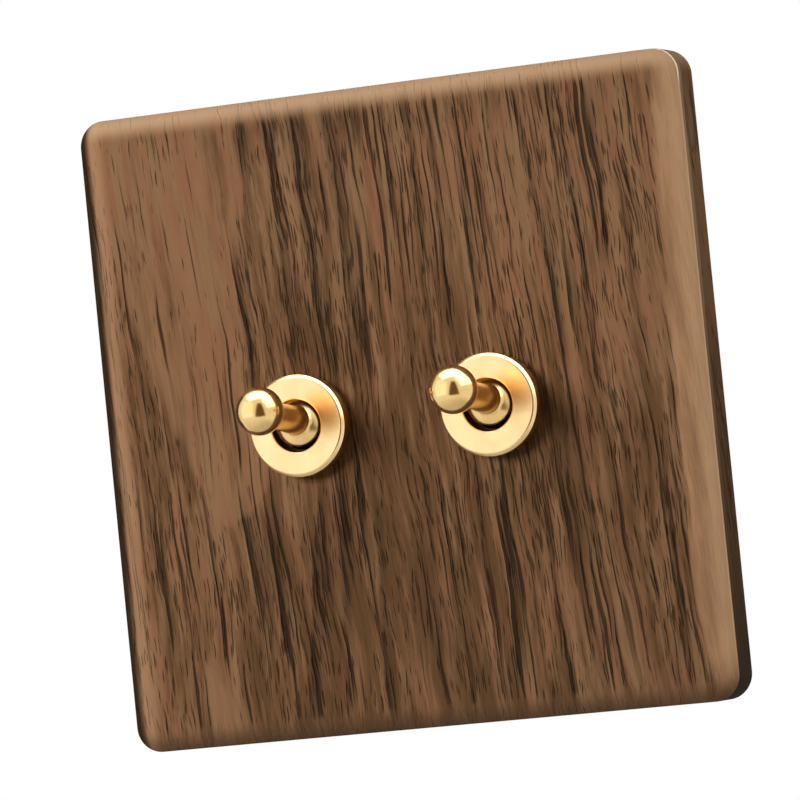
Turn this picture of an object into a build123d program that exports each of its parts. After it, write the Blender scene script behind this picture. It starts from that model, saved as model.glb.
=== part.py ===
from build123d import *
import os
from math import acos, cos, radians, sin, sqrt, tan

# Two-gang toggle light switch on a walnut panel, in millimetres.
# The wall is the plane y = 0, the panel faces -Y and +Z is up.
# A height is measured out of the wall, so a height h lies at y = -h and a negative one is
# inside the wall. Pieces of a toggle are made about its own axis, then moved to their places.

# Walnut panel
panel_size = 86.0
panel_thickness = 8.0
panel_side = 6.0  # straight side, from the wall to the arris
panel_corner = 3.5
roundover_radius = 3.9

# Layout of the two toggles
toggle_pitch = 27.3
toggle_drop = 1.25  # axes of the toggles below the middle of the panel

# Brass collars
collar_diameter = 13.7
collar_height = 2.8
collar_chamfer = 0.4
collar_hole = 7.0
collar_hole_chamfer = 0.2
collar_lip = 0.5
collar_sleeve = 11.4
collar_sleeve_depth = 3.2  # into the wood

# Threaded bushings and their nuts
bushing_thread = 10.0
bushing_bore = 6.4
bushing_setback = 2.4  # behind the face of the collar
bushing_chamfer = 0.3
bushing_flange = 12.0
bushing_flange_thickness = 1.0
nut_across_flats = 14.0
nut_thickness = 1.8
nut_chamfer = 0.6

# Levers
pivot_depth = 7.0  # behind the face of the collar
lever_tilt = 6.0  # degrees either side of straight out
ball_arm = 19.2  # from the pivot to the middle of the ball
ball_diameter = 6.4
stem_tip = 3.1
stem_base = 4.0
stem_base_arm = 7.0
skirt_diameter = 6.8
skirt_arm = 6.05
skirt_crown = 0.1
skirt_edge = 0.5
neck_diameter = 3.8
pivot_boss = 6.2
pivot_boss_length = 4.8
pivot_land = 0.8  # full width of the boss, between its two cones
tail_diameter = 4.4
tail_arm = 8.5
tail_chamfer = 0.3
tail_bore = 2.9
spring_seat_arm = 1.7
pin_diameter = 1.6
pin_length = 9.4

# Plungers and springs
plunger_reach = 11.8  # from the pivot to the rounded end
plunger_length = 6.2
spring_wire = 0.4
spring_turns = 4.0

# Rockers
rocker_swing = 7.5  # degrees either side of the middle
rocker_width = 4.8
rocker_thickness = 1.0
rocker_length = 17.0
trough_angle = 8.0
trough_width = 4.8
arm_start = 4.0  # from the middle, where an arm runs straight
arm_drop = 0.2  # an arm behind the bottom of the trough
trunnion_diameter = 1.6
trunnion_length = 7.4
trunnion_setback = 0.25

# Silver contacts
contact_offset = 7.0
rocker_contact_diameter = 2.8
rocker_contact_height = 0.65
rocker_contact_dome = 2.6
fixed_contact_diameter = 3.0
fixed_contact_height = 0.6
fixed_contact_edge = 0.2

# Brass terminals
terminal_thickness = 1.2
plate_margin = 0.2  # of a fixed plate beyond its clamp
common_plate_width = 8.4
common_plate_height = 6.6
post_width = 4.0
post_height = 2.8
post_standoff = 2.1
leg_height = 3.2
leg_lead = 0.35  # end of a leg in front of the axis of the trunnion

# Terminal screws and wire clamps
terminal_screw = 3.0
screw_length = 3.9
screw_head_height = 1.8
screw_slot_width = 0.8
screw_slot_depth = 0.9
screw_head_edge = 0.3
clamp_thickness = 0.8
clamp_lip = 0.6

# Moulded cases
case_width = 15.0
case_height = 30.0
case_edge = 0.6
cavity_width = 8.4
cavity_height = 20.0
card_pocket_width = 12.6
card_pocket_height = 25.0
rear_wall = 3.0
screw_well = 2.5
rib_thickness = 1.1
rib_height = 3.9
nib_height = 0.55
nib_width = 4.0
nib_length = 1.4
nib_depth = 5.0  # behind the wall, where a nib starts

# Insulating cards
card_thickness = 0.8
card_hole = 6.6

# Frame plates
frame_thickness = 0.8
frame_bend = 0.4
ear_width = 9.0
ear_length = 8.6

# Mounting strap
strap_width = 74.0
strap_height = 48.0
strap_thickness = 1.2
strap_corner = 4.0
strap_bend = 0.6
strap_lip_width = 44.0
strap_lip = 3.4
box_screw_pitch = 60.3
box_slot_width = 4.5
box_slot_length = 9.0

# Pockets in the back of the panel
head_pocket_length = 14.0
head_pocket_width = 9.0
head_pocket_depth = 3.2
nut_pocket_gap = 0.6
nut_pocket_room = 0.4

# Clearances
running_clearance = 0.05
press_clearance = 0.02
thread_clearance = 0.05
sliding_clearance = 0.1
seat_clearance = 0.1
panel_hole_clearance = 0.2
strap_clearance = 0.3
contact_clearance = 0.05
rocker_clearance = 0.06
terminal_clearance = 0.3
head_clearance = 0.1

# Heights of the chain from the wall to the collar
collar_face = panel_thickness + collar_height
pivot_height = collar_face - pivot_depth
thread_radius = bushing_thread / 2
thread_hole = thread_radius + thread_clearance
frame_back = -frame_thickness
flange_back = frame_back - bushing_flange_thickness
card_back = flange_back - card_thickness

# Rocker: its trough lies just behind the plunger, its trunnion behind the trough
rocker_face = pivot_height - plunger_reach - rocker_clearance
trunnion_radius = trunnion_diameter / 2
rocker_axis = rocker_face - trunnion_setback - trunnion_radius
arm_back = rocker_face - arm_drop - rocker_thickness

# A closed contact: the dome on the swung rocker just clears the fixed contact
swing = radians(rocker_swing)
dome_centre = arm_back - rocker_contact_height + rocker_contact_dome - rocker_axis
dome_reach = dome_centre * cos(swing) - contact_offset * sin(swing) - rocker_contact_dome
fixed_contact_face = rocker_axis + dome_reach - contact_clearance
post_end = fixed_contact_face - fixed_contact_height

# Case, from the floor of its cavity to the backs of the terminals
cavity_floor = post_end - post_standoff
case_back = cavity_floor - rear_wall
terminal_back = case_back - terminal_thickness
clamp_back = terminal_back - clamp_thickness
inner_rib = common_plate_height / 2 + terminal_clearance
fixed_plate_start = inner_rib + rib_thickness + terminal_clearance
fixed_plate_end = case_height / 2 - rib_thickness - terminal_clearance
# A clamp and the head of its screw fill the plate between the post and the outer end
post_edge = contact_offset + post_height / 2
screw_offset = (post_edge + fixed_plate_end) / 2
clamp_height = fixed_plate_end - post_edge
screw_head = clamp_height - 2 * head_clearance
clamp_width = screw_head + 2 * (head_clearance + clamp_thickness)
fixed_plate_width = clamp_width + 2 * plate_margin
leg_gap = rocker_width + 2 * terminal_clearance
leg_thickness = (trunnion_length - leg_gap) / 2
screw_hole = terminal_screw / 2 + thread_clearance

toggle_axis = Axis((0, 0, 0), (0, -1, 0))


def slab(sketch, low, high):
    """A sketch in X and Z, made solid between two heights."""
    return extrude(Plane.XZ.offset(low) * sketch, high - low)


def turned(edges):
    """A closed outline of radius and height, turned about the toggle axis."""
    half_plane = Plane(origin=(0, 0, 0), x_dir=(1, 0, 0), z_dir=(0, 0, -1))
    return revolve(half_plane * make_face(edges), toggle_axis)


def across(sketch, width):
    """A sketch of Y and Z, made solid over a width along X about the middle."""
    return extrude(Plane.YZ.offset(-width / 2) * sketch, width)


def cross_bore(diameter, length, height):
    """A round bar along X at a height."""
    return Pos(0, -height, 0) * Rot(Y=90) * Cylinder(diameter / 2, length)


def wood_panel():
    # The cutter of the round-over runs a little outside the edge, which leaves the arris.
    arc = acos(1 - (panel_thickness - panel_side) / roundover_radius)
    overrun = roundover_radius * (1 - sin(arc))
    blank_size = panel_size + 2 * overrun
    blank_corner = max(panel_corner + overrun, roundover_radius + 0.05)
    blank = slab(RectangleRounded(blank_size, blank_size, blank_corner), 0, panel_thickness)
    blank = fillet(blank.faces().sort_by(Axis.Y)[0].edges(), roundover_radius)
    panel = blank & slab(RectangleRounded(panel_size, panel_size, panel_corner), 0, panel_thickness)
    strap_pocket = RectangleRounded(
        strap_width + 2 * strap_clearance,
        strap_height + 2 * strap_clearance,
        strap_corner + strap_clearance,
    )
    panel -= slab(strap_pocket, 0, strap_thickness)
    nut_pocket = nut_across_flats / 2 / cos(radians(30)) + nut_pocket_gap
    nut_pocket_floor = strap_thickness + nut_thickness + nut_pocket_room
    for x in (-toggle_pitch / 2, toggle_pitch / 2):
        hole = Circle(collar_sleeve / 2 + panel_hole_clearance)
        panel -= Pos(x, 0, -toggle_drop) * slab(hole, 0, panel_thickness)
        panel -= Pos(x, 0, -toggle_drop) * slab(Circle(nut_pocket), 0, nut_pocket_floor)
    for x in (-box_screw_pitch / 2, box_screw_pitch / 2):
        head_pocket = SlotOverall(head_pocket_length, head_pocket_width)
        panel -= Pos(x, 0, 0) * slab(head_pocket, 0, strap_thickness + head_pocket_depth)
    return panel


def mounting_strap():
    bend = strap_bend + strap_thickness
    flat_height = strap_height - 2 * bend
    strap = slab(RectangleRounded(strap_width, flat_height, strap_corner), 0, strap_thickness)
    for side in (1, -1):
        edge = side * flat_height / 2
        top = side * strap_height / 2
        fold = Polyline(
            (strap_bend, top),
            (strap_lip, top),
            (strap_lip, top - side * strap_thickness),
            (strap_bend, top - side * strap_thickness),
        )
        inner = RadiusArc(fold @ 1, (0, edge), -side * strap_bend)
        root = Line((0, edge), (-strap_thickness, edge))
        outer = RadiusArc(root @ 1, fold @ 0, side * bend)
        strap += across(make_face([fold, inner, root, outer]), strap_lip_width)
    for x in (-toggle_pitch / 2, toggle_pitch / 2):
        hole = slab(Circle(thread_radius + seat_clearance), 0, strap_thickness)
        strap -= Pos(x, 0, -toggle_drop) * hole
    for x in (-box_screw_pitch / 2, box_screw_pitch / 2):
        strap -= Pos(x, 0, 0) * slab(SlotOverall(box_slot_length, box_slot_width), 0, strap_thickness)
    return strap


def collar():
    outer = collar_diameter / 2
    hole = collar_hole / 2
    sleeve_end = panel_thickness - collar_sleeve_depth
    return turned(
        Polyline(
            (hole, collar_face - collar_hole_chamfer),
            (hole + collar_hole_chamfer, collar_face),
            (outer - collar_chamfer, collar_face),
            (outer, collar_face - collar_chamfer),
            (outer, panel_thickness),
            (collar_sleeve / 2, panel_thickness),
            (collar_sleeve / 2, sleeve_end),
            (thread_hole, sleeve_end),
            (thread_hole, collar_face - collar_lip),
            (hole, collar_face - collar_lip),
            close=True,
        )
    )


def bushing():
    front = collar_face - bushing_setback
    bore = bushing_bore / 2
    tube = turned(
        Polyline(
            (bore, front),
            (thread_radius - bushing_chamfer, front),
            (thread_radius, front - bushing_chamfer),
            (thread_radius, frame_back),
            (bushing_flange / 2, frame_back),
            (bushing_flange / 2, flange_back),
            (bore, flange_back),
            close=True,
        )
    )
    return tube - cross_bore(pin_diameter + 2 * press_clearance, bushing_flange, pivot_height)


def bushing_nut():
    corner = nut_across_flats / 2 / cos(radians(30))
    top = strap_thickness + nut_thickness
    nut = slab(RegularPolygon(corner, 6), strap_thickness, top)
    # The chamfer that a lathe leaves on the six corners.
    drop = (corner - nut_across_flats / 2) * nut_chamfer
    nut &= turned(
        Polyline(
            (0, strap_thickness),
            (corner, strap_thickness),
            (corner, top - drop),
            (nut_across_flats / 2, top),
            (0, top),
            close=True,
        )
    )
    return nut - slab(Circle(thread_hole), strap_thickness, top)


def pivot_pin():
    pin = Rot(Y=90) * Cylinder(pin_diameter / 2, pin_length)
    return Pos(0, -pivot_height, 0) * chamfer(pin.edges().filter_by(GeomType.CIRCLE), 0.15)


def lever():
    """Made about its pivot, pointing straight out of the wall."""
    ball = ball_diameter / 2
    neck = neck_diameter / 2
    pivot = pivot_boss / 2
    tail = tail_diameter / 2
    skirt = skirt_diameter / 2
    ball_end = ball_arm - sqrt(ball**2 - (stem_tip / 2) ** 2)
    crown = ((stem_base + skirt_diameter) / 4 + skirt_crown, (stem_base_arm + skirt_arm) / 2 + skirt_crown)
    neck_end = pivot_boss_length / 2
    tail_start = -pivot_boss_length / 2
    spine = Polyline((0, -tail_arm), (0, ball_arm + ball))
    knob = ThreePointArc((0, ball_arm + ball), (ball, ball_arm), (stem_tip / 2, ball_end))
    stem = Line((stem_tip / 2, ball_end), (stem_base / 2, stem_base_arm))
    dome = ThreePointArc((stem_base / 2, stem_base_arm), crown, (skirt, skirt_arm))
    back = Polyline(
        (skirt, skirt_arm),
        (skirt, skirt_arm - skirt_edge),
        (neck, skirt_arm - skirt_edge),
        (neck, neck_end),
    )
    boss = Polyline(
        (neck, neck_end),
        (pivot, pivot_land / 2),
        (pivot, -pivot_land / 2),
        (tail, tail_start),
    )
    tube = Polyline(
        (tail, tail_start),
        (tail, tail_chamfer - tail_arm),
        (tail - tail_chamfer, -tail_arm),
        (0, -tail_arm),
    )
    piece = turned([spine, knob, stem, dome, back, boss, tube])
    piece -= slab(Circle(tail_bore / 2), -tail_arm, -spring_seat_arm)
    return piece - cross_bore(pin_diameter + 2 * running_clearance, pivot_boss, 0)


def plunger():
    """Made about the pivot of its lever, like the spring."""
    radius = tail_bore / 2 - sliding_clearance
    inner_end = plunger_length - plunger_reach
    rim = Polyline((0, radius - plunger_reach), (0, inner_end), (radius, inner_end), (radius, radius - plunger_reach))
    rod = turned([rim, Line(rim @ 1, rim @ 0)])
    return rod + Pos(0, plunger_reach - radius, 0) * Sphere(radius)


def plunger_spring():
    coil = tail_bore / 2 - sliding_clearance - spring_wire / 2
    room = plunger_reach - plunger_length - spring_seat_arm
    rise = room - spring_wire
    start = (0, spring_seat_arm + spring_wire / 2, 0)
    path = Helix(rise / spring_turns, rise, coil, center=start, direction=(0, 1, 0))
    section = Plane(origin=path @ 0, z_dir=path % 0) * RegularPolygon(spring_wire / 2, 6)
    return sweep(section, path, is_frenet=True)


def rocker():
    """Made about the axis of its trunnions, in the middle of its swing."""
    trough = rocker_face - rocker_axis
    lip = trough + trough_width / 2 * tan(radians(trough_angle))
    arm = trough - arm_drop
    front = [
        (-arm, -rocker_length / 2),
        (-arm, -arm_start),
        (-lip, -trough_width / 2),
        (-trough, 0),
        (-lip, trough_width / 2),
        (-arm, arm_start),
        (-arm, rocker_length / 2),
    ]
    back = [(y + rocker_thickness, z) for y, z in reversed(front)]
    blade = across(make_face(Polyline(*front, *back, close=True)), rocker_width)
    return blade + cross_bore(trunnion_diameter, trunnion_length, 0)


def rocker_contacts():
    face = arm_back - rocker_axis
    radius = rocker_contact_diameter / 2
    edge = rocker_contact_dome - sqrt(rocker_contact_dome**2 - radius**2)
    tip = face - rocker_contact_height
    rim = Polyline((0, tip), (0, face), (radius, face), (radius, tip + edge))
    middle = (radius / 2, tip + rocker_contact_dome - sqrt(rocker_contact_dome**2 - radius**2 / 4))
    tip_piece = turned([rim, ThreePointArc((radius, tip + edge), middle, (0, tip))])
    return [Pos(0, 0, z) * tip_piece for z in (contact_offset, -contact_offset)]


def fixed_contacts():
    disc = slab(Circle(fixed_contact_diameter / 2), post_end, fixed_contact_face)
    disc = chamfer(disc.faces().sort_by(Axis.Y)[0].edges(), fixed_contact_edge)
    return [Pos(0, 0, z) * disc for z in (contact_offset, -contact_offset)]


def fixed_terminal():
    """The upper one. The lower one is the same piece turned over."""
    height = fixed_plate_end - fixed_plate_start
    middle = (fixed_plate_end + fixed_plate_start) / 2
    piece = Pos(0, 0, middle) * slab(RectangleRounded(fixed_plate_width, height, 0.8), terminal_back, case_back)
    piece += Pos(0, 0, contact_offset) * slab(Rectangle(post_width, post_height), case_back, post_end)
    return piece - Pos(0, 0, screw_offset) * slab(Circle(screw_hole), terminal_back, case_back)


def common_terminal():
    """A plate with two legs, each with an open bearing for a trunnion of the rocker."""
    plate = RectangleRounded(common_plate_width, common_plate_height, 0.8)
    piece = slab(plate, terminal_back, case_back)
    leg_end = rocker_axis + leg_lead
    for side in (1, -1):
        x = side * (trunnion_length - leg_thickness) / 2
        piece += Pos(x, 0, 0) * slab(Rectangle(leg_thickness, leg_height), case_back, leg_end)
    bearing = trunnion_diameter + 2 * running_clearance
    piece -= cross_bore(bearing, common_plate_width, rocker_axis)
    piece -= slab(Rectangle(common_plate_width, bearing), rocker_axis, leg_end)
    return piece - slab(Circle(screw_hole), terminal_back, case_back)


def switch_case():
    case_front = frame_back
    case = slab(Rectangle(case_width, case_height), case_back, case_front)
    case = chamfer(case.edges().filter_by(Axis.Z).group_by(Axis.Y)[0], case_edge)
    case -= slab(Rectangle(card_pocket_width, card_pocket_height), card_back, case_front)
    case -= slab(Rectangle(cavity_width, cavity_height), cavity_floor, card_back)
    rib_back = case_back - rib_height
    for z in (inner_rib + rib_thickness / 2, (case_height - rib_thickness) / 2):
        for side in (1, -1):
            case += Pos(0, 0, side * z) * slab(Rectangle(case_width, rib_thickness), rib_back, case_back)
    for z in (screw_offset, 0, -screw_offset):
        well = slab(Circle(terminal_screw / 2 + seat_clearance), case_back, case_back + screw_well)
        case -= Pos(0, 0, z) * well
    post_slot = Rectangle(post_width + 2 * seat_clearance, post_height + 2 * seat_clearance)
    for z in (contact_offset, -contact_offset):
        case -= Pos(0, 0, z) * slab(post_slot, case_back, cavity_floor)
    leg_slot = Rectangle(leg_thickness + 2 * seat_clearance, leg_height + 2 * seat_clearance)
    for side in (1, -1):
        x = side * (trunnion_length - leg_thickness) / 2
        case -= Pos(x, 0, 0) * slab(leg_slot, case_back, cavity_floor)
    # Latching nibs, ramped towards the front.
    half = case_width / 2
    ramp = Polyline((half, nib_depth), (half + nib_height, nib_depth + nib_length), (half, nib_depth + nib_length), close=True)
    nib = Pos(0, 0, -nib_width / 2) * extrude(make_face(ramp), nib_width)
    return case + nib + Rot(Y=180) * nib


def insulating_card():
    card = Rectangle(card_pocket_width - 2 * seat_clearance, card_pocket_height - 2 * seat_clearance)
    return slab(card - Circle(card_hole / 2), card_back, flange_back)


def frame_plate():
    plate = slab(Rectangle(case_width, case_height), frame_back, 0)
    inside = case_width / 2 + seat_clearance
    outside = inside + frame_thickness
    # The ears are folded back over the sides of the case.
    outer = Pos(0, ear_length / 2) * Rectangle(2 * outside, ear_length)
    outer = fillet(outer.vertices().group_by(Axis.Y)[0], frame_bend + frame_thickness)
    inner_length = ear_length - frame_thickness
    inner = Pos(0, frame_thickness + inner_length / 2) * Rectangle(2 * inside, inner_length)
    inner = fillet(inner.vertices().group_by(Axis.Y)[0], frame_bend)
    plate += Pos(0, 0, -ear_width / 2) * extrude(outer - inner, ear_width)
    window = Box(2 * outside, nib_length + 2 * seat_clearance, nib_width + 2 * seat_clearance)
    plate -= Pos(0, nib_depth + nib_length / 2, 0) * window
    return plate - slab(Circle(thread_hole), frame_back, 0)


def terminal_screw_piece():
    head_back = clamp_back - screw_head_height
    head = slab(Circle(screw_head / 2), head_back, clamp_back)
    head = chamfer(head.faces().sort_by(Axis.Y)[-1].edges(), screw_head_edge)
    head -= slab(Rectangle(screw_head, screw_slot_width), head_back, head_back + screw_slot_depth)
    return head + slab(Circle(terminal_screw / 2), clamp_back, clamp_back + screw_length)


def wire_clamp():
    plate = slab(Rectangle(clamp_width, clamp_height), clamp_back, terminal_back)
    for side in (1, -1):
        x = side * (clamp_width - clamp_thickness) / 2
        plate += Pos(x, 0, 0) * slab(Rectangle(clamp_thickness, clamp_height), clamp_back - clamp_lip, clamp_back)
    return plate - slab(Circle(terminal_screw / 2 + panel_hole_clearance), clamp_back, terminal_back)


def save(name, *solids):
    piece = solids[0] if len(solids) == 1 else Compound(children=list(solids))
    piece.label = name
    export_step(piece, os.path.join("parts", name + ".step"))


os.makedirs("parts", exist_ok=True)
save("wood_panel", wood_panel())
save("mounting_strap", mounting_strap())

fixed_pieces = {
    "collar": collar(),
    "bushing": bushing(),
    "bushing_nut": bushing_nut(),
    "pivot_pin": pivot_pin(),
    "frame_plate": frame_plate(),
    "insulating_card": insulating_card(),
    "switch_case": switch_case(),
    "common_terminal": common_terminal(),
    "upper_terminal": fixed_terminal(),
    "lower_terminal": Rot(Y=180) * fixed_terminal(),
}
lever_pieces = {"lever": lever(), "plunger": plunger(), "plunger_spring": plunger_spring()}
rocker_piece = rocker()
rocker_tips = rocker_contacts()
fixed_tips = fixed_contacts()
screw_piece = terminal_screw_piece()
clamp_piece = wire_clamp()
screws = []
clamps = []

for side, x in (("left", -toggle_pitch / 2), ("right", toggle_pitch / 2)):
    place = Pos(x, 0, -toggle_drop)
    for name, piece in fixed_pieces.items():
        save(f"{name}_{side}", place * piece)
    # Levers rest up, so the lower arm of each rocker is pressed back.
    lever_place = place * Pos(0, -pivot_height, 0) * Rot(X=-lever_tilt)
    for name, piece in lever_pieces.items():
        save(f"{name}_{side}", lever_place * piece)
    rocker_place = place * Pos(0, -rocker_axis, 0) * Rot(X=rocker_swing)
    save(f"rocker_{side}", rocker_place * rocker_piece)
    save(f"rocker_contacts_{side}", *[rocker_place * tip for tip in rocker_tips])
    save(f"fixed_contacts_{side}", *[place * tip for tip in fixed_tips])
    for z in (screw_offset, 0, -screw_offset):
        screws.append(place * Pos(0, 0, z) * screw_piece)
        clamps.append(place * Pos(0, 0, z) * clamp_piece)

save("terminal_screws", *screws)
save("wire_clamps", *clamps)
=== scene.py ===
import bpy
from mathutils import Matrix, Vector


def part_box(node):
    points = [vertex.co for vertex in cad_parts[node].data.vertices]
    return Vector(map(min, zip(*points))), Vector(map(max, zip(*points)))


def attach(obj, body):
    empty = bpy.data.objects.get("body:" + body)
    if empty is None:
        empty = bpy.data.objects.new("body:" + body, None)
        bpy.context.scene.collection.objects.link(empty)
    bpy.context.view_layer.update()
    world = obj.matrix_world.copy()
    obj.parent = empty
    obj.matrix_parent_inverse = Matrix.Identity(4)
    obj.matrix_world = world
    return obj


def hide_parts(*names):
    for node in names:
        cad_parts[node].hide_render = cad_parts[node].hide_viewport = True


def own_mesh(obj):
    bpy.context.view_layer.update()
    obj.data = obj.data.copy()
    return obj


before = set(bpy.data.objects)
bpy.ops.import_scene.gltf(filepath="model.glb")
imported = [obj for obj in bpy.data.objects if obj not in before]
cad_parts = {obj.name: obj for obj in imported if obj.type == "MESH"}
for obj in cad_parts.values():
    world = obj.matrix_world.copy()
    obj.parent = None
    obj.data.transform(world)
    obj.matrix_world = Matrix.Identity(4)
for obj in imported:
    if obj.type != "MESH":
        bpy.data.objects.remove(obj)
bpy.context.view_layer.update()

import math

import bmesh
import bpy
from mathutils import Matrix, Vector

# Switch cases
# Each gang has a black thermoset moulding, open at the front, with ribs between the terminals at
# its back. It holds the terminals, and the frame plate latches over nibs on its sides.


class Look:
    """A socket in a material, so that shader maths reads as plain sums."""

    def __init__(self, tree, socket=None):
        self.tree = tree
        self.socket = socket

    def make(self, kind, settings, sockets, out=0):
        """A new node: its settings first, then the values or links of its sockets."""
        node = self.tree.nodes.new(kind)
        for name, value in settings.items():
            setattr(node, name, value)
        for name, value in sockets.items():
            self.put(node.inputs[name], value)
        return Look(self.tree, node.outputs[out])

    def put(self, socket, value):
        """Links a Look to a socket, or sets a fixed value or colour on it."""
        if isinstance(value, Look):
            self.tree.links.new(value.socket, socket)
        elif socket.type == "RGBA":
            socket.default_value = (*value, 1)
        else:
            socket.default_value = value

    def maths(self, operation, *values):
        return self.make("ShaderNodeMath", {"operation": operation}, dict(enumerate(values)))

    def __add__(self, other):
        return self.maths("ADD", self, other)

    def __sub__(self, other):
        return self.maths("SUBTRACT", self, other)

    def __rsub__(self, other):
        return self.maths("SUBTRACT", other, self)

    def __mul__(self, other):
        return self.maths("MULTIPLY", self, other)

    def __pow__(self, other):
        return self.maths("POWER", self, other)

    def __abs__(self):
        return self.maths("ABSOLUTE", self)

    __radd__ = __add__
    __rmul__ = __mul__

    def least(self, other, soft=0.0):
        return self.maths("SMOOTH_MIN", self, other, soft)

    def most(self, other):
        return self.maths("MAXIMUM", self, other)

    def between(self, low, high, start=0.0, end=1.0):
        """A smooth step from start at low to end at high."""
        settings = {"interpolation_type": "SMOOTHSTEP"}
        sockets = {"Value": self, "From Min": low, "From Max": high, "To Min": start, "To Max": end}
        return self.make("ShaderNodeMapRange", settings, sockets)

    def below(self, low, high):
        """One up to low, and nothing from high on."""
        return self.between(low, high, 1.0, 0.0)

    def band(self, start, full, last, end):
        """One from full to last, and nothing before start and after end."""
        return self.between(start, full) * self.below(last, end)

    def tint(self, first, second):
        """A colour from first to second, with this value as the share of the second."""
        sockets = {"Factor": self, "A": first, "B": second}
        return self.make("ShaderNodeMix", {"data_type": "RGBA"}, sockets, "Result")

    def noise(self, x, y, z, detail=2.0, rough=0.5):
        """Noise of about 0.5 whose cells are one unit wide in the three values."""
        place = self.make("ShaderNodeCombineXYZ", {}, {"X": x, "Y": y, "Z": z})
        sockets = {"Vector": place, "Scale": 1.0, "Detail": detail, "Roughness": rough}
        return self.make("ShaderNodeTexNoise", {"noise_dimensions": "3D"}, sockets)

    def bump(self, depth):
        """A normal for this value as relief, with the depth of one unit in millimetres."""
        sockets = {"Height": self, "Distance": depth / 1000, "Strength": 1.0}
        return self.make("ShaderNodeBump", {}, sockets, "Normal")


def new_finish(name):
    """A material, a function that sets its shader's sockets, and x, y and z on it in millimetres."""
    material = bpy.data.materials.new(name)
    material.use_nodes = True
    tree = material.node_tree
    shader = tree.nodes["Principled BSDF"]
    start = Look(tree)

    def paint(**surface):
        for socket, value in surface.items():
            start.put(shader.inputs[socket.replace("_", " ")], value)

    spot = start.make("ShaderNodeTexCoord", {}, {}, "Object")
    place = [start.make("ShaderNodeSeparateXYZ", {}, {"Vector": spot}, axis) * 1000.0 for axis in "XYZ"]
    return material, paint, place


def specks(place, per_mm, detail):
    """Noise that is alike in every direction, with so many cells to a millimetre."""
    x, y, z = place
    return x.noise(x * per_mm, y * per_mm, z * per_mm, detail)


def dress(material, *names):
    """Gives CAD pieces that finish."""
    for name in names:
        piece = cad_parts[name]
        piece.data.materials.clear()
        piece.data.materials.append(material)


def both(name):
    return f"{name}_left", f"{name}_right"


case_black = (0.022, 0.022, 0.024)
case_grey = (0.034, 0.033, 0.034)
moulding, paint, place = new_finish("black_moulding")
grit = specks(place, 6.0, 3.0)
flow = specks(place, 0.25, 2.0)
paint(
    Base_Color=flow.between(0.3, 0.7).tint(case_black, case_grey),
    Roughness=0.42 + grit * 0.16,
    Normal=grit.bump(0.03),
    Specular_IOR_Level=0.4,
)
dress(moulding, *both("switch_case"))

# Terminals and their screws
# Brass plates on the back of the case, with posts through its floor or two legs whose open
# bearings carry the rocker, and with screws for the wires. Bright but not polished, with tool
# marks and a little tarnish.
bright_brass = (0.78, 0.55, 0.22)
tarnished_brass = (0.55, 0.36, 0.14)
plain_brass, paint, place = new_finish("plain_brass")
x, y, z = place
tarnish = specks(place, 0.7, 4.0)
tool_marks = x.noise(x * 3.0, y * 14.0, z * 3.0)
paint(
    Base_Color=tarnish.between(0.35, 0.75).tint(bright_brass, tarnished_brass),
    Roughness=0.2 + tarnish * 0.16 + tool_marks * 0.06,
    Normal=tool_marks.bump(0.01),
    Metallic=1.0,
)
for name in ("common_terminal", "upper_terminal", "lower_terminal"):
    dress(plain_brass, *both(name))
dress(plain_brass, "terminal_screws")

# Rockers and contacts
# Phosphor bronze see-saws that lie in the bearings of the common terminals. Silver contact tips
# are riveted to their arms and to the upper and lower terminals.
bronze_pale = (0.68, 0.36, 0.18)
bronze_deep = (0.55, 0.27, 0.13)
bronze, paint, place = new_finish("phosphor_bronze")
heat = specks(place, 0.5, 3.0)
paint(
    Base_Color=heat.between(0.3, 0.7).tint(bronze_pale, bronze_deep),
    Roughness=0.25 + heat * 0.15,
    Metallic=1.0,
)
dress(bronze, *both("rocker"))
silver_bright = (0.80, 0.80, 0.78)
silver_dull = (0.62, 0.61, 0.58)
silver, paint, place = new_finish("silver_tips")
dulling = specks(place, 2.0, 3.0)
paint(
    Base_Color=dulling.tint(silver_bright, silver_dull),
    Roughness=0.2 + dulling * 0.2,
    Metallic=1.0,
)
dress(silver, *both("rocker_contacts"), *both("fixed_contacts"))

# Levers
# Each lever is turned in one piece from brass bar: ball, tapered stem, domed skirt that fills
# the collar's hole, pivot boss and hollow tail. It swings on a pin across the bushing.
sides = (("left", -1), ("right", 1))
toggle_pitch = 27.3
toggle_height = -1.25
pivot_height = 3.8
lever_tilt = -6.0
# Along the lever, an arm is measured from the pivot towards the ball.
ball_radius = 3.2
ball_arm = 19.2
ball_top = 88
ball_steps = 60
stem_tip = 1.55
stem_base_arm = 7.0
# Radius and arm from the eased root of the stem, over the dome, to the eased rim of the skirt.
skirt_dome = ((2.0, 7.06), (2.05, 6.99), (2.42, 6.76), (2.8, 6.53), (3.13, 6.28), (3.37, 6.1))
skirt_radius = 3.4
skirt_arm = 6.05
skirt_edge = 0.5
neck_radius = 1.9
boss_radius = 3.1
boss_reach = 2.4
boss_land = 0.4
tail_radius = 2.2
tail_arm = 8.5
tail_chamfer = 0.3
tail_bore = 1.45
spring_seat = 1.7
lathe_steps = 128
lathe_crease = 24


def arc(centre_r, centre_h, radius, start, end, steps):
    """Points of radius and height on an arc, angles in degrees from straight outwards."""
    points = []
    for step in range(steps + 1):
        angle = math.radians(start + (end - start) * step / steps)
        points.append((centre_r + radius * math.cos(angle), centre_h + radius * math.sin(angle)))
    return points


def add(name, data):
    """A new object in the scene."""
    made = bpy.data.objects.new(name, data)
    bpy.context.scene.collection.objects.link(made)
    return made


def make_piece(name, shape):
    """A new piece from a shape, with its faces turned outwards."""
    bmesh.ops.recalc_face_normals(shape, faces=shape.faces)
    mesh = bpy.data.meshes.new(name)
    shape.to_mesh(mesh)
    shape.free()
    return add(name, mesh)


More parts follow.
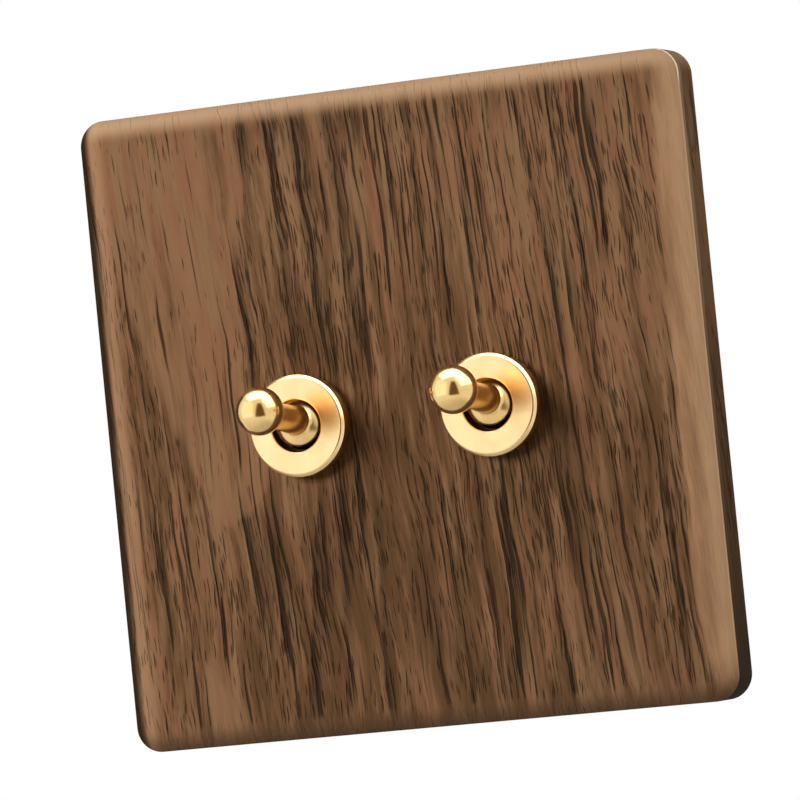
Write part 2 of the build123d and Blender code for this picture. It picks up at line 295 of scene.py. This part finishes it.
def soften(piece, crease):
    """Smooth shading, apart from edges sharper than crease degrees."""
    piece.data.shade_smooth()
    piece.data.set_sharp_from_angle(angle=math.radians(crease))


def toggle_seat(side, height, tilt):
    """Where a piece sits on a toggle's axis: its height out of the wall, and its tilt in degrees."""
    place = Vector((side * toggle_pitch / 2, -height, toggle_height)) / 1000
    return Matrix.Translation(place) @ Matrix.Rotation(math.radians(tilt), 4, "X")


def turn(name, profile, seat):
    """A lathe piece from a profile of radius and height in millimetres, closed or from axis to axis."""
    shape = bmesh.new()
    rings = []
    for radius, height in profile:
        ring = []
        for step in range(lathe_steps if radius else 1):
            angle = 2 * math.pi * step / lathe_steps
            px = radius * math.cos(angle) / 1000
            pz = radius * math.sin(angle) / 1000
            ring.append(shape.verts.new((px, -height / 1000, pz)))
        rings.append(ring)
    pairs = list(zip(rings, rings[1:]))
    if len(rings[0]) > 1:
        pairs.append((rings[-1], rings[0]))
    for lower, upper in pairs:
        for step in range(lathe_steps):
            after = (step + 1) % lathe_steps
            corners = [lower[step % len(lower)], lower[after % len(lower)]]
            corners += [upper[after % len(upper)], upper[step % len(upper)]]
            shape.faces.new(list(dict.fromkeys(corners)))
    shape.transform(seat)
    piece = make_piece(name, shape)
    soften(piece, lathe_crease)
    return piece


ball_foot = math.degrees(math.acos(stem_tip / ball_radius))
lever_profile = [
    (0, ball_arm + ball_radius),
    *arc(0, ball_arm, ball_radius, ball_top, -ball_foot, ball_steps),
    *skirt_dome,
    (skirt_radius, skirt_arm),
    (skirt_radius, skirt_arm - skirt_edge),
    (neck_radius, skirt_arm - skirt_edge),
    (neck_radius, boss_reach),
    (boss_radius, boss_land),
    (boss_radius, -boss_land),
    (tail_radius, -boss_reach),
    (tail_radius, -tail_arm + tail_chamfer),
    (tail_radius - tail_chamfer, -tail_arm),
    (tail_bore, -tail_arm),
    (tail_bore, -spring_seat),
    (0, -spring_seat),
]

# The ball is polished, the stem is left satin with an orange tint that is a painted reflection of
# the warm wood and collar, and what is inside is dark.
ball_pale = (0.88, 0.62, 0.27)
ball_deep = (0.80, 0.54, 0.22)
stem_reflected_orange = (0.94, 0.54, 0.17)
inner_dark = (0.052, 0.018, 0.006)
polished, paint, place = new_finish("polished_brass")
x, y, z = place
cloud = specks(place, 0.35, 3.0)
hair = specks(place, 7.0, 2.0)
arm_y = -math.cos(math.radians(lever_tilt))
arm_z = -math.sin(math.radians(lever_tilt))
arm = (y + pivot_height) * arm_y + (z - toggle_height) * arm_z
inside = arm.below(skirt_arm - 0.02, skirt_arm + 0.03)
stem = arm.band(stem_base_arm, stem_base_arm + 0.4, ball_arm - 3.0, ball_arm - 2.6)
behind_ball = y.between(-20.0, -19.2)
lever_brass = cloud.between(0.3, 0.7).tint(ball_pale, ball_deep)
# Painted reflection: the stem is tinted orange for the warm wood and collar mirrored in it.
lever_brass = (stem * 0.9).tint(lever_brass, stem_reflected_orange)
paint(
    Base_Color=inside.tint(lever_brass, inner_dark),
    Roughness=0.13 + hair * 0.05 + cloud * 0.03 + behind_ball * 0.06 + inside * 0.25,
    Normal=hair.bump(0.002),
    Metallic=1.0,
)
for name, side in sides:
    lever = turn(f"brass_lever_{name}", lever_profile, toggle_seat(side, pivot_height, lever_tilt))
    lever.data.materials.append(polished)
    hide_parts(f"lever_{name}")
    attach(lever, f"lever_{name}")

# Plunger springs
# Coils of hard drawn steel wire in the tails of the levers. Each one presses its plunger on to
# the rocker.
wire_radius = 0.2
wire_sides = 10
wire_crease = 40
coil_radius = 1.15
coil_turns = 4
turn_steps = 28
plunger_end = 5.6
spring_room = plunger_end - spring_seat
coil_rise = spring_room - 2 * wire_radius
coil_steps = coil_turns * turn_steps
coil_slope = math.atan2(coil_rise, 2 * math.pi * coil_radius * coil_turns)


def skin(name, loops):
    """A closed piece through loops of points from one end to the other, with flat ends."""
    shape = bmesh.new()
    rings = [[shape.verts.new(point) for point in loop] for loop in loops]
    count = len(rings[0])
    for lower, upper in zip(rings, rings[1:]):
        for step in range(count):
            after = (step + 1) % count
            shape.faces.new((lower[step], lower[after], upper[after], upper[step]))
    shape.faces.new(rings[0][::-1])
    shape.faces.new(rings[-1])
    return make_piece(name, shape)


coil_loops = []
for step in range(coil_steps + 1):
    angle = 2 * math.pi * step / turn_steps
    outward = Vector((math.cos(angle), 0, math.sin(angle)))
    around = Vector((-math.sin(angle), 0, math.cos(angle)))
    uphill = Vector((0, math.cos(coil_slope), 0)) - around * math.sin(coil_slope)
    rise = spring_seat + wire_radius + coil_rise * step / coil_steps
    middle = outward * coil_radius + Vector((0, rise, 0))
    loop = []
    for corner in range(wire_sides):
        turned = 2 * math.pi * corner / wire_sides
        spoke = outward * math.cos(turned) + uphill * math.sin(turned)
        loop.append((middle + spoke * wire_radius) / 1000)
    coil_loops.append(loop)

steel_grey = (0.52, 0.53, 0.55)
steel_bright = (0.64, 0.64, 0.65)
steel, paint, place = new_finish("drawn_steel")
drawn = specks(place, 2.0, 2.0)
paint(
    Base_Color=drawn.tint(steel_grey, steel_bright),
    Roughness=0.22 + drawn * 0.12,
    Metallic=1.0,
)
for name, side in sides:
    seat = toggle_seat(side, pivot_height, lever_tilt)
    spring = skin(f"steel_spring_{name}", coil_loops)
    spring.data.transform(seat)
    soften(spring, wire_crease)
    spring.data.materials.append(steel)
    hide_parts(f"plunger_spring_{name}")
    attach(spring, f"lever_{name}")
    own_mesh(spring)

# Plungers
# Rods of natural nylon that slide in the tails of the levers. The round end of each one rides in
# the trough of its rocker.
nylon_cream = (0.78, 0.75, 0.66)
nylon_deep = (0.68, 0.64, 0.54)
nylon, paint, place = new_finish("nylon")
milk = specks(place, 1.5, 2.0)
paint(
    Base_Color=milk.tint(nylon_cream, nylon_deep),
    Roughness=0.38 + milk * 0.1,
    Subsurface_Weight=0.1,
    Subsurface_Scale=0.001,
)
dress(nylon, *both("plunger"))

# Bushings and their nuts
# Threaded brass tubes that carry the levers, with a flange behind the frame plate and a thin
# hexagon nut on the strap. The tubes are dull and dark brown, as they show inside the collar.
bushing_brown = (0.13, 0.055, 0.018)
bushing_dark_brown = (0.075, 0.030, 0.011)
dull_brass, paint, place = new_finish("dull_dark_brass")
smear = specks(place, 0.8, 3.0)
paint(
    Base_Color=smear.between(0.3, 0.7).tint(bushing_brown, bushing_dark_brown),
    Roughness=0.45 + smear * 0.2,
    Metallic=0.7,
)
dress(dull_brass, *both("bushing"))
dress(plain_brass, *both("bushing_nut"))

# Pivot pins
# Cut from drawn steel wire, like the wire of the springs, and pressed across each bushing,
# through the boss of the lever.
dress(steel, *both("pivot_pin"))

# Insulating cards
# Red-brown vulcanised fibre, punched from sheet. Each card lies in the mouth of the case, under
# the flange of the bushing.
fibre_dark = (0.10, 0.030, 0.018)
fibre_red = (0.20, 0.065, 0.035)
fibre, paint, place = new_finish("fibre")
felting = specks(place, 3.0, 4.0)
paint(
    Base_Color=felting.tint(fibre_dark, fibre_red),
    Roughness=0.6 + felting * 0.2,
    Specular_IOR_Level=0.25,
)
dress(fibre, *both("insulating_card"))

# Frame plates, mounting strap and wire clamps
# Pressed from zinc-plated steel sheet, with a faint bluish spangle and fine rolling marks. Ears of
# the frame plates fold back and latch on the cases, the strap's long edges are folded back into
# lips, and the clamps lie under the terminal screws.
zinc_blue = (0.58, 0.59, 0.61)
zinc_pale = (0.70, 0.70, 0.69)
zinc_rolled = (0.52, 0.53, 0.55)
zinc, paint, place = new_finish("zinc_plating")
x, y, z = place
rolled = x.noise(x * 0.6, y * 8.0, z * 8.0, 3.0)
spangle = specks(place, 0.5, 3.0)
plating = spangle.between(0.35, 0.65).tint(zinc_blue, zinc_pale)
paint(
    Base_Color=rolled.between(0.3, 0.7).tint(plating, zinc_rolled),
    Roughness=0.26 + rolled * 0.14 + spangle * 0.08,
    Normal=rolled.bump(0.01),
    Metallic=1.0,
)
dress(zinc, *both("frame_plate"), "mounting_strap", "wire_clamps")

# Walnut panel
# One board of solid walnut with its front edge rounded over and its back milled out for the
# strap, the nuts and the screw heads. Oiled, with open pores; a strip of sapwood is on its right.
panel_low, panel_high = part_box("wood_panel")
panel_half = (panel_high.x - panel_low.x) * 500
panel_front = -panel_low.y * 1000
panel_corner = 3.5
panel_crease = 11
corner_steps = 14
side_steps = 30
back_ease = 0.3
arris_height = 6.0
arris_ease = 0.12
arris_inset = 0.06
round_radius = 3.9
round_steps = 11
cutter_clear = 1.0
pocket_steps = 24
hole_radius = 5.9
nut_pocket_radius = 8.68
nut_pocket_depth = 3.4
# Length, width, corner radius and depth of a pocket.
strap_pocket = (74.6, 48.6, 4.3, 1.2)
head_pocket = (14.0, 9.0, 4.5, 4.4)
box_screw_pitch = 60.3


def panel_loop(inset, height):
    """Points round the panel, drawn in by inset, at a height out of the wall."""
    middle = panel_half - panel_corner
    radius = panel_corner - inset
    points = []
    for quarter in range(4):
        spin = Matrix.Rotation(quarter * math.pi / 2, 2)
        for step in range(side_steps):
            along = -middle + 2 * middle * step / side_steps
            points.append(spin @ Vector((panel_half - inset, along)))
        for step in range(corner_steps):
            angle = step / corner_steps * math.pi / 2
            px = middle + radius * math.cos(angle)
            pz = middle + radius * math.sin(angle)
            points.append(spin @ Vector((px, pz)))
    return [(point.x / 1000, -height / 1000, point.y / 1000) for point in points]


def pocket(name, centre, length, width, corner, depth):
    """A cutter with round corners, from behind the wall face to a depth in the panel."""
    loops = []
    for height in (-cutter_clear, depth):
        loop = []
        for quarter, (sign_x, sign_z) in enumerate(((1, 1), (-1, 1), (-1, -1), (1, -1))):
            for step in range(pocket_steps + 1):
                angle = (quarter + step / pocket_steps) * math.pi / 2
                px = centre[0] + sign_x * (length / 2 - corner) + corner * math.cos(angle)
                pz = centre[1] + sign_z * (width / 2 - corner) + corner * math.sin(angle)
                loop.append((px / 1000, -height / 1000, pz / 1000))
        loops.append(loop)
    return skin(name, loops)


def cut_away(piece, cutters):
    """Takes the cutters out of a piece for good."""
    for cutter in cutters:
        cut = piece.modifiers.new("cut", "BOOLEAN")
        cut.operation = "DIFFERENCE"
        cut.solver = "EXACT"
        cut.object = cutter
    bpy.context.view_layer.update()
    solid = piece.evaluated_get(bpy.context.evaluated_depsgraph_get())
    cut_mesh = bpy.data.meshes.new_from_object(solid)
    piece.modifiers.clear()
    piece.data = cut_mesh
    for cutter in cutters:
        bpy.data.objects.remove(cutter)


round_end = math.acos(1 - (panel_front - arris_height) / round_radius)
round_middle = round_radius * math.sin(round_end)
panel_profile = [
    (back_ease, 0),
    (0, back_ease),
    (0, arris_height - 2 * arris_ease),
    (arris_inset / 3, arris_height - arris_ease / 2),
]
for step in range(round_steps + 1):
    angle = round_end * (1 - step / round_steps)
    inset = round_middle - round_radius * math.sin(angle)
    height = panel_front - round_radius + round_radius * math.cos(angle)
    panel_profile.append((max(inset, arris_inset), height))
panel = skin("walnut_panel", [panel_loop(inset, height) for inset, height in panel_profile])
cutters = [pocket("strap_pocket", (0, 0), *strap_pocket)]
round_cuts = (
    ("hole", hole_radius, panel_front + cutter_clear),
    ("nut_pocket", nut_pocket_radius, nut_pocket_depth),
)
for name, side in sides:
    axis = (side * toggle_pitch / 2, toggle_height)
    for cut_name, radius, depth in round_cuts:
        cutters.append(pocket(f"{cut_name}_{name}", axis, 2 * radius, 2 * radius, radius, depth))
    cutters.append(pocket(f"head_pocket_{name}", (side * box_screw_pitch / 2, 0), *head_pocket))
cut_away(panel, cutters)
soften(panel, panel_crease)
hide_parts("wood_panel")
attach(panel, "base")

# The grain runs up the board, wanders a little and leans at the upper right. Each noise has its
# cells to a millimetre across the grain, through the board and up the grain.
walnut, paint, place = new_finish("walnut")
x, y, z = place
depth = y + panel_front
slow = x.noise(x * 0.05, y * 0.05, z * 0.03) - 0.5
wave = x.noise(x * 0.15, y * 0.1, z * 0.06 + 7.0) - 0.5
shiver = x.noise(x * 0.6, y * 0.5, z * 0.16, 3.0) - 0.5
ring_cut = x + y * 0.25
across = ring_cut + wave * 1.6 + shiver * 0.8
lean = z * 0.055 + z.between(-5.0, 44.0) * x.between(0.0, 25.0) * 1.6
straight = ring_cut + lean + slow * 3.0 + wave * 1.6 + shiver * 0.5
# A pale tongue of early wood hangs down the upper left, has a waist and ends in a point.
tip_x = -27.0
tip_z = -13.8
waist_z = 11.0
above_tip = (z - tip_z).most(0.0)
above_waist = z - waist_z
waist = (above_waist * above_waist).between(0.0, 300.0, 2.0, 0.0)
tongue_left = tip_x - 1.4 * above_tip ** 0.62
tongue_right = tip_x + (above_tip * 1.15).least(5.6, 2.0) - waist
outside = (across - tongue_right).most(tongue_left - across).most((tip_z - z) * 0.5)
heart = (outside + shiver * 2.4).between(-0.6, 1.0)
# Where dark late wood gathers: x and z at its top, x and z at its foot, and how far it reaches to
# the right of its sharp left side.
gathers = (
    (-21.6, 44.0, -21.0, 27.0, 1.6),
    (-23.4, 26.0, -23.2, 2.0, 1.8),
    (-17.0, 42.0, -16.4, 6.0, 1.6),
    (-14.2, 44.0, -11.8, 6.0, 3.4),
    (-9.2, 44.0, -6.6, 6.0, 2.6),
    (-0.7, 44.0, -0.2, 22.0, 0.7),
    (5.7, 42.0, 6.5, 8.0, 0.8),
    (9.6, 34.0, 10.4, 4.0, 1.2),
    (18.2, 41.0, 22.0, 4.0, 1.1),
    (24.3, 40.0, 26.3, 0.0, 0.9),
    (29.0, 40.0, 28.6, 14.0, 0.9),
    (37.0, 42.0, 38.4, 0.0, 1.5),
    (38.4, 2.0, 38.6, -38.0, 1.2),
    (-26.0, -11.0, -24.6, -26.0, 5.0),
    (-22.2, -13.0, -21.6, -31.0, 4.0),
    (-14.2, -9.0, -19.2, -42.0, 3.2),
    (-11.0, -9.0, -13.6, -42.0, 1.3),
    (-6.6, -9.0, -7.4, -42.0, 1.7),
    (0.8, -10.0, 0.6, -42.0, 0.7),
    (7.8, -10.0, 8.4, -32.0, 0.8),
    (11.4, -9.0, 11.0, -40.0, 1.0),
    (16.8, -9.0, 18.2, -42.0, 1.0),
    (20.4, -10.0, 23.2, -42.0, 0.8),
    (23.2, -12.0, 25.6, -42.0, 0.6),
    (33.8, -10.0, 35.2, -42.0, 1.0),
)
late = 0.0
for top_x, top_z, foot_x, foot_z, reach in gathers:
    slope = (top_x - foot_x) / (top_z - foot_z)
    beside = across - z * slope - (top_x - top_z * slope)
    along = z.band(foot_z - 3.0, foot_z + 5.0, top_z - 5.0, top_z + 3.0)
    late = beside.band(-0.35, 0.3, 0.3, reach + 0.3) * along + late
late = late.least(1.2)
# Soft fields of tan, pink and umber run up the board, darker below the middle.
tan = (0.205, 0.110, 0.054)
pink = (0.203, 0.093, 0.047)
umber = (0.094, 0.045, 0.0188)
dark = (0.032, 0.018, 0.009)
black = (0.016, 0.009, 0.004)
field = x.noise(straight * 0.32, y * 0.1, z * 0.045, 3.0, 0.6)
blush = x.noise(straight * 0.5 + 9.0, y * 0.1, z * 0.06, 3.0, 0.55)
streaks = x.noise(straight * 1.1 + 20.0, y * 0.2, z * 0.07, 3.0, 0.6)
fibres = x.noise(straight * 4.0, y * 2.0, z * 0.3, 2.0, 0.6)
lower_half = z.below(-2.0, 16.0) * x.between(-30.0, -10.0)
mellow = (field - 0.5) * 2.2 + (streaks - 0.5) * (0.7 + heart * 1.2) + (fibres - 0.5) * 0.5
mellow = mellow + heart * 0.32 + lower_half * 0.34 - x.between(0.0, 30.0) * 0.28
wood = blush.between(0.40, 0.62).tint(tan, pink)
wood = (mellow + 0.10).between(0.0, 1.0).tint(wood, umber)
wood = (late * 0.44).tint(wood, dark)
# A dark brow lies along the top of the front.
brow = z.band(33.0, 38.4, 38.8, 40.0) * x.between(-27.0, -20.0) * x.between(4.0, 16.0, 1.0, 0.35)
brow = brow * (streaks + field * 0.5).between(0.55, 0.95)
wood = (brow * 0.6).tint(wood, dark)
# A strip of sapwood runs along the right edge; its paler tone towards the side is painted light on
# the round-over, which turns away from the lamps.
sapwood = (0.335, 0.186, 0.096)
inner_sap = (0.235, 0.120, 0.062)
sap_painted_light = (0.49, 0.300, 0.160)
sap_reach = x - (depth - 2.0).most(0.0) * 3.0 - z * 0.008 + wave * 2.0 + shiver * 1.2
sap = sap_reach.between(38.6, 39.8) * z.between(-43.0, -36.0)
sap_tone = (field + fibres * 0.3 - 0.15).between(0.35, 0.65).tint(sapwood, inner_sap)
# Painted light: the sapwood pales towards the side where the round-over turns from the lamps.
sap_tone = (x.between(40.0, 43.0) * (1.1 - fibres * 0.6)).tint(sap_tone, sap_painted_light)
wood = (sap * 0.92).tint(wood, sap_tone)
# Long dark lines follow the late wood, and short open pores lie all over; the sapwood is close.
rounded = z.between(39.2, 40.6) + z.below(-40.8, -39.6)
open_grain = (1.0 - sap * 0.9) * (1.0 - rounded * 0.7)
fade = x.noise(x * 0.3, y * 0.2, z * 0.08 + 3.0) - 0.5
lines = x.noise(straight * 1.9, y * 0.2, z * 0.042, 1.0)
lines = lines + late * 0.09 + heart * 0.05 + fade * 0.18
shoulders = lines.between(0.52, 0.72) * open_grain
cracks = lines.between(0.65, 0.78) * open_grain
wood = (shoulders * 0.22).tint(wood, dark)
wood = (cracks * 0.82).tint(wood, black)
pores = x.noise(straight * 3.5, y * 0.6, z * 0.28, 1.0)
dense = x.noise(straight * 0.16 + 4.0, y * 0.1, z * 0.05)
slits = (pores + dense * 0.4 + heart * 0.06 + late * 0.08).between(0.83, 1.02) * open_grain
wood = (slits * (0.48 + heart * 0.22)).tint(wood, black)
# The left edge is dark with painted shade and has a painted highlight in a pale band beside it; the
# top edge is paler than the front with painted light from above, and the bottom edge is brown with
# painted light that lifts it from its shade.
left_painted_shade = (0.016, 0.0075, 0.002)
top_painted_light = (0.472, 0.290, 0.163)
foot_painted_light = (0.104, 0.052, 0.025)
left_edge = x + wave * 0.8
clear_of_left = x.between(-42.0, -40.0)
# Painted highlight: a pale band at the start of the left round-over.
wood = (left_edge.band(-41.4, -40.6, -39.9, -38.4) * 0.62).tint(wood, sapwood)
# Painted shade on the outer left round-over.
wood = (left_edge.below(-41.9, -40.6) * 0.95).tint(wood, left_painted_shade)
# Painted light on the top edge, as if lit from above.
wood = (z.between(39.6, 42.2) * clear_of_left * 0.88).tint(wood, top_painted_light)
# Painted light that lifts the bottom edge from its shade.
wood = (z.below(-42.4, -39.8) * clear_of_left * 0.6).tint(wood, foot_painted_light)
# The right side is dark behind the round-over, most of all at its foot: painted shade.
side_foot_shade = (0.014, 0.011, 0.006)
side_top_shade = (0.034, 0.0175, 0.006)
side_shade = (0.009, 0.005, 0.002)
top_and_foot = z.below(-40.0, -39.4) + z.between(39.4, 40.0)
shaded_right_side = x.between(42.85, 42.97).most(top_and_foot * x.between(39.6, 41.0))
shaded_right_side = shaded_right_side * depth.band(2.05, 2.3, 7.4, 7.7)
side_painted_shade = z.between(-42.0, -18.0).tint(side_foot_shade, side_top_shade)
side_painted_shade = (depth.below(2.5, 3.4) * 0.75).tint(side_painted_shade, side_shade)
# Painted shade on the right side, darkest at its foot and just behind the round-over.
wood = (shaded_right_side * z.between(-40.0, 40.0, 0.97, 0.6)).tint(wood, side_painted_shade)
# The sharp edge behind the round-over carries a painted highlight, pale and almost white at the upper
# right.
highlight_pale = (0.62, 0.42, 0.25)
highlight_white = (0.92, 0.82, 0.66)
off_arris = depth - 1.98
arris_highlight = (off_arris * off_arris).below(0.0, 0.022) * x.between(-43.0, -20.0) * z.between(-41.0, -32.0)
wood = (arris_highlight * 0.45).tint(wood, highlight_pale)
# Painted highlight, almost white, at the upper right of the arris.
wood = (arris_highlight * z.between(37.2, 40.4) * x.between(37.5, 40.0)).tint(wood, highlight_white)
paint(
    Base_Color=wood,
    Roughness=0.5 + slits * 0.2 - fibres * 0.08 + shaded_right_side * 0.3,
    Normal=(fibres * 0.2 - slits - cracks).bump(0.18),
    Specular_IOR_Level=0.05,
)
panel.data.materials.append(walnut)

# Collars
# Turned brass sleeve nuts that screw on to the bushings and clamp the panel. Their faces are
# polished to a satin, with a fine haze from the wheel, and the bore is dark.
collar_face = 10.8
collar_radius = 6.85
collar_hole = 3.5
collar_lip = 0.5
hole_ease = 0.2
collar_chamfer = 0.4
face_ease = 0.42
face_ease_steps = 8
shoulder_ease = 0.06
foot_inset = 0.3
foot_rise = 0.35
sleeve_radius = 5.7
sleeve_depth = 3.2
thread_radius = 5.05
face_ease_run = face_ease * math.tan(math.radians(22.5))
face_ease_middle = collar_radius - collar_chamfer - face_ease_run
collar_profile = [
    (collar_hole, collar_face - hole_ease),
    (collar_hole + 0.3 * hole_ease, collar_face - 0.35 * hole_ease),
    (collar_hole + hole_ease, collar_face),
    *arc(face_ease_middle, collar_face - face_ease, face_ease, 90, 45, face_ease_steps),
    (collar_radius - shoulder_ease / 3, collar_face - collar_chamfer),
    (collar_radius, collar_face - collar_chamfer - shoulder_ease),
    (collar_radius, panel_front + foot_rise),
    (collar_radius - foot_inset, panel_front),
    (sleeve_radius, panel_front),
    (sleeve_radius, panel_front - sleeve_depth),
    (thread_radius, panel_front - sleeve_depth),
    (thread_radius, collar_face - collar_lip),
    (collar_hole, collar_face - collar_lip),
]

collar_pale = (0.90, 0.64, 0.33)
collar_deep = (0.84, 0.58, 0.29)
satin, paint, place = new_finish("satin_brass")
x, y, z = place
cloud = specks(place, 0.35, 3.0)
haze = specks(place, 9.0, 2.0)
from_axis_x = abs(x) - toggle_pitch / 2
from_axis_z = z - toggle_height
from_axis = (from_axis_x * from_axis_x + from_axis_z * from_axis_z) ** 0.5
bore = from_axis.below(collar_hole + 0.02, collar_hole + 0.08)
collar_brass = cloud.between(0.3, 0.7).tint(collar_pale, collar_deep)
paint(
    Base_Color=bore.tint(collar_brass, inner_dark),
    Roughness=0.17 + haze * 0.08 + cloud * 0.04 + bore * 0.3,
    Normal=haze.bump(0.004),
    Metallic=1.0,
)
for name, side in sides:
    collar = turn(f"brass_collar_{name}", collar_profile, toggle_seat(side, 0, 0))
    collar.data.materials.append(satin)
    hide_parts(f"collar_{name}")
    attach(collar, "base")

# Studio
# The switch hangs in a white tent above a pale floor. A key, a front, an edge and a back lamp
# light it. Three soft boxes, a warm dim slot where the camera stands, and two black flags behind
# the switch show only in the brass.


def sheet(name, corners, material):
    """A flat sheet with four corners, in metres, that is no part of the switch."""
    mesh = bpy.data.meshes.new(name)
    mesh.from_pydata(corners, [], [(0, 1, 2, 3)])
    mesh.materials.append(material)
    made = add(name, mesh)
    return made


floor_low = -0.5
floor_half = 1.6
quarters = ((-1, -1), (1, -1), (1, 1), (-1, 1))
floor_corners = [(px * floor_half, py * floor_half, floor_low) for px, py in quarters]
paper_grey = (0.70, 0.69, 0.67)
paper_pale = (0.74, 0.73, 0.71)
paper, paint, place = new_finish("pale_paper")
x, y, z = place
tooth = specks(place, 0.2, 3.0)
spread = (x * x + y * y) ** 0.5
paint(
    Base_Color=tooth.tint(paper_grey, paper_pale),
    Roughness=0.9,
    Specular_IOR_Level=0.1,
    Alpha=spread.below(50.0, 800.0),
)
sheet("floor", floor_corners, paper)

# The tent is white to the camera and in the brass, and gives little light of its own.
tent_light = 0.10
world = bpy.data.worlds.new("tent")
bpy.context.scene.world = world
world.use_nodes = True
background = world.node_tree.nodes["Background"]
tent = Look(world.node_tree)
seen = tent.make("ShaderNodeLightPath", {}, {}, "Is Camera Ray")
for ray in ("Is Glossy Ray", "Is Transmission Ray"):
    seen = seen.most(tent.make("ShaderNodeLightPath", {}, {}, ray))
tent.put(background.inputs["Color"], (1.0, 1.0, 1.0))
tent.put(background.inputs["Strength"], seen * (1.0 - tent_light) + tent_light)


def lamp(name, right, up, away, width, height, glow, mirrored):
    """A soft box that faces the switch, so many degrees right and up of straight in front of it.

    A mirrored one shows only in reflections, and the others light without showing there."""
    data = bpy.data.lights.new(name, "AREA")
    data.shape = "RECTANGLE"
    data.size = width
    data.size_y = height
    data.energy = glow * math.pi * width * height
    made = add(name, data)
    swing = Matrix.Rotation(math.radians(right), 4, "Z")
    swing = swing @ Matrix.Rotation(math.radians(90 - up), 4, "X")
    made.matrix_world = swing @ Matrix.Translation((0, 0, away))
    if mirrored:
        made.visible_diffuse = False
    else:
        made.visible_glossy = False


lamp("top_box", right=20, up=84, away=0.42, width=0.70, height=0.36, glow=3.0, mirrored=True)
lamp("key", right=-28, up=16, away=0.80, width=0.28, height=0.28, glow=31.5, mirrored=False)
lamp("left_box", right=-42, up=10, away=0.60, width=0.70, height=0.70, glow=0.42, mirrored=True)
lamp("front_lamp", right=-4, up=-22, away=0.60, width=0.30, height=0.34, glow=0.6, mirrored=False)
lamp("edge_lamp", right=91, up=4, away=0.30, width=0.05, height=0.16, glow=19.0, mirrored=False)
lamp("back_lamp", right=165, up=30, away=0.70, width=0.50, height=0.40, glow=6.0, mirrored=False)
lamp("right_strip", right=92, up=38, away=0.60, width=0.80, height=0.52, glow=2.0, mirrored=True)


def hang(name, corners, material):
    """A sheet that shows only in reflections."""
    made = sheet(name, corners, material)
    made.visible_camera = False
    made.visible_diffuse = False
    made.visible_shadow = False


felt_black = (0.03, 0.03, 0.03)
slot_glow = (0.12, 0.062, 0.02)
slot_felt, paint = new_finish("slot_felt")[:2]
paint(Base_Color=felt_black, Roughness=1.0, Emission_Color=slot_glow, Emission_Strength=1.0)
slot_turn = 20.9
slot_away = 1.1
slot_corners = ((-0.50, 0, -0.55), (0.56, 0, -0.55), (0.22, 0, 0.85), (-0.18, 0, 0.85))
slot_seat = Matrix.Rotation(math.radians(slot_turn), 4, "Z") @ Matrix.Translation((0, -slot_away, 0))
hang("camera_slot", [slot_seat @ Vector(corner) for corner in slot_corners], slot_felt)
black_felt, paint = new_finish("black_felt")[:2]
paint(Base_Color=felt_black, Roughness=1.0)
flag_low = -0.5
flag_high = 0.6
flags = (
    ("left", (-0.12, 0.5), (-0.9, 0.12)),
    ("right", (0.12, 0.5), (0.5, 0.58)),
)
for name, inner, outer in flags:
    flag_corners = [(*inner, flag_low), (*outer, flag_low), (*outer, flag_high), (*inner, flag_high)]
    hang(f"flag_{name}", flag_corners, black_felt)

# Camera
# A long lens a little to the right of the switch and slightly below its middle, rolled so that
# the plate leans as in the photograph.
azimuth = math.radians(20.912)
elevation = math.radians(-1.93)
roll = math.radians(-5.662)
distance = 0.79292
aim = Vector((-0.002606, 0, 0.001017))
sensor = 36.0
focal_pixels = 5903
image_pixels = 800
level = math.cos(elevation)
back = Vector((math.sin(azimuth) * level, -math.cos(azimuth) * level, math.sin(elevation)))
right = Vector((math.cos(azimuth), math.sin(azimuth), 0))
up = back.cross(right)
rolled_right = math.cos(roll) * right + math.sin(roll) * up
rolled_up = -math.sin(roll) * right + math.cos(roll) * up
camera_data = bpy.data.cameras.new("camera")
camera_data.sensor_width = sensor
camera_data.lens = sensor * focal_pixels / image_pixels
camera_data.clip_end = 20.0
camera = add("camera", camera_data)
axes = Matrix((rolled_right, rolled_up, back)).transposed()
camera.matrix_world = Matrix.Translation(aim + back * distance) @ axes.to_4x4()
bpy.context.scene.camera = camera
bpy.context.scene.view_settings.view_transform = "Standard"
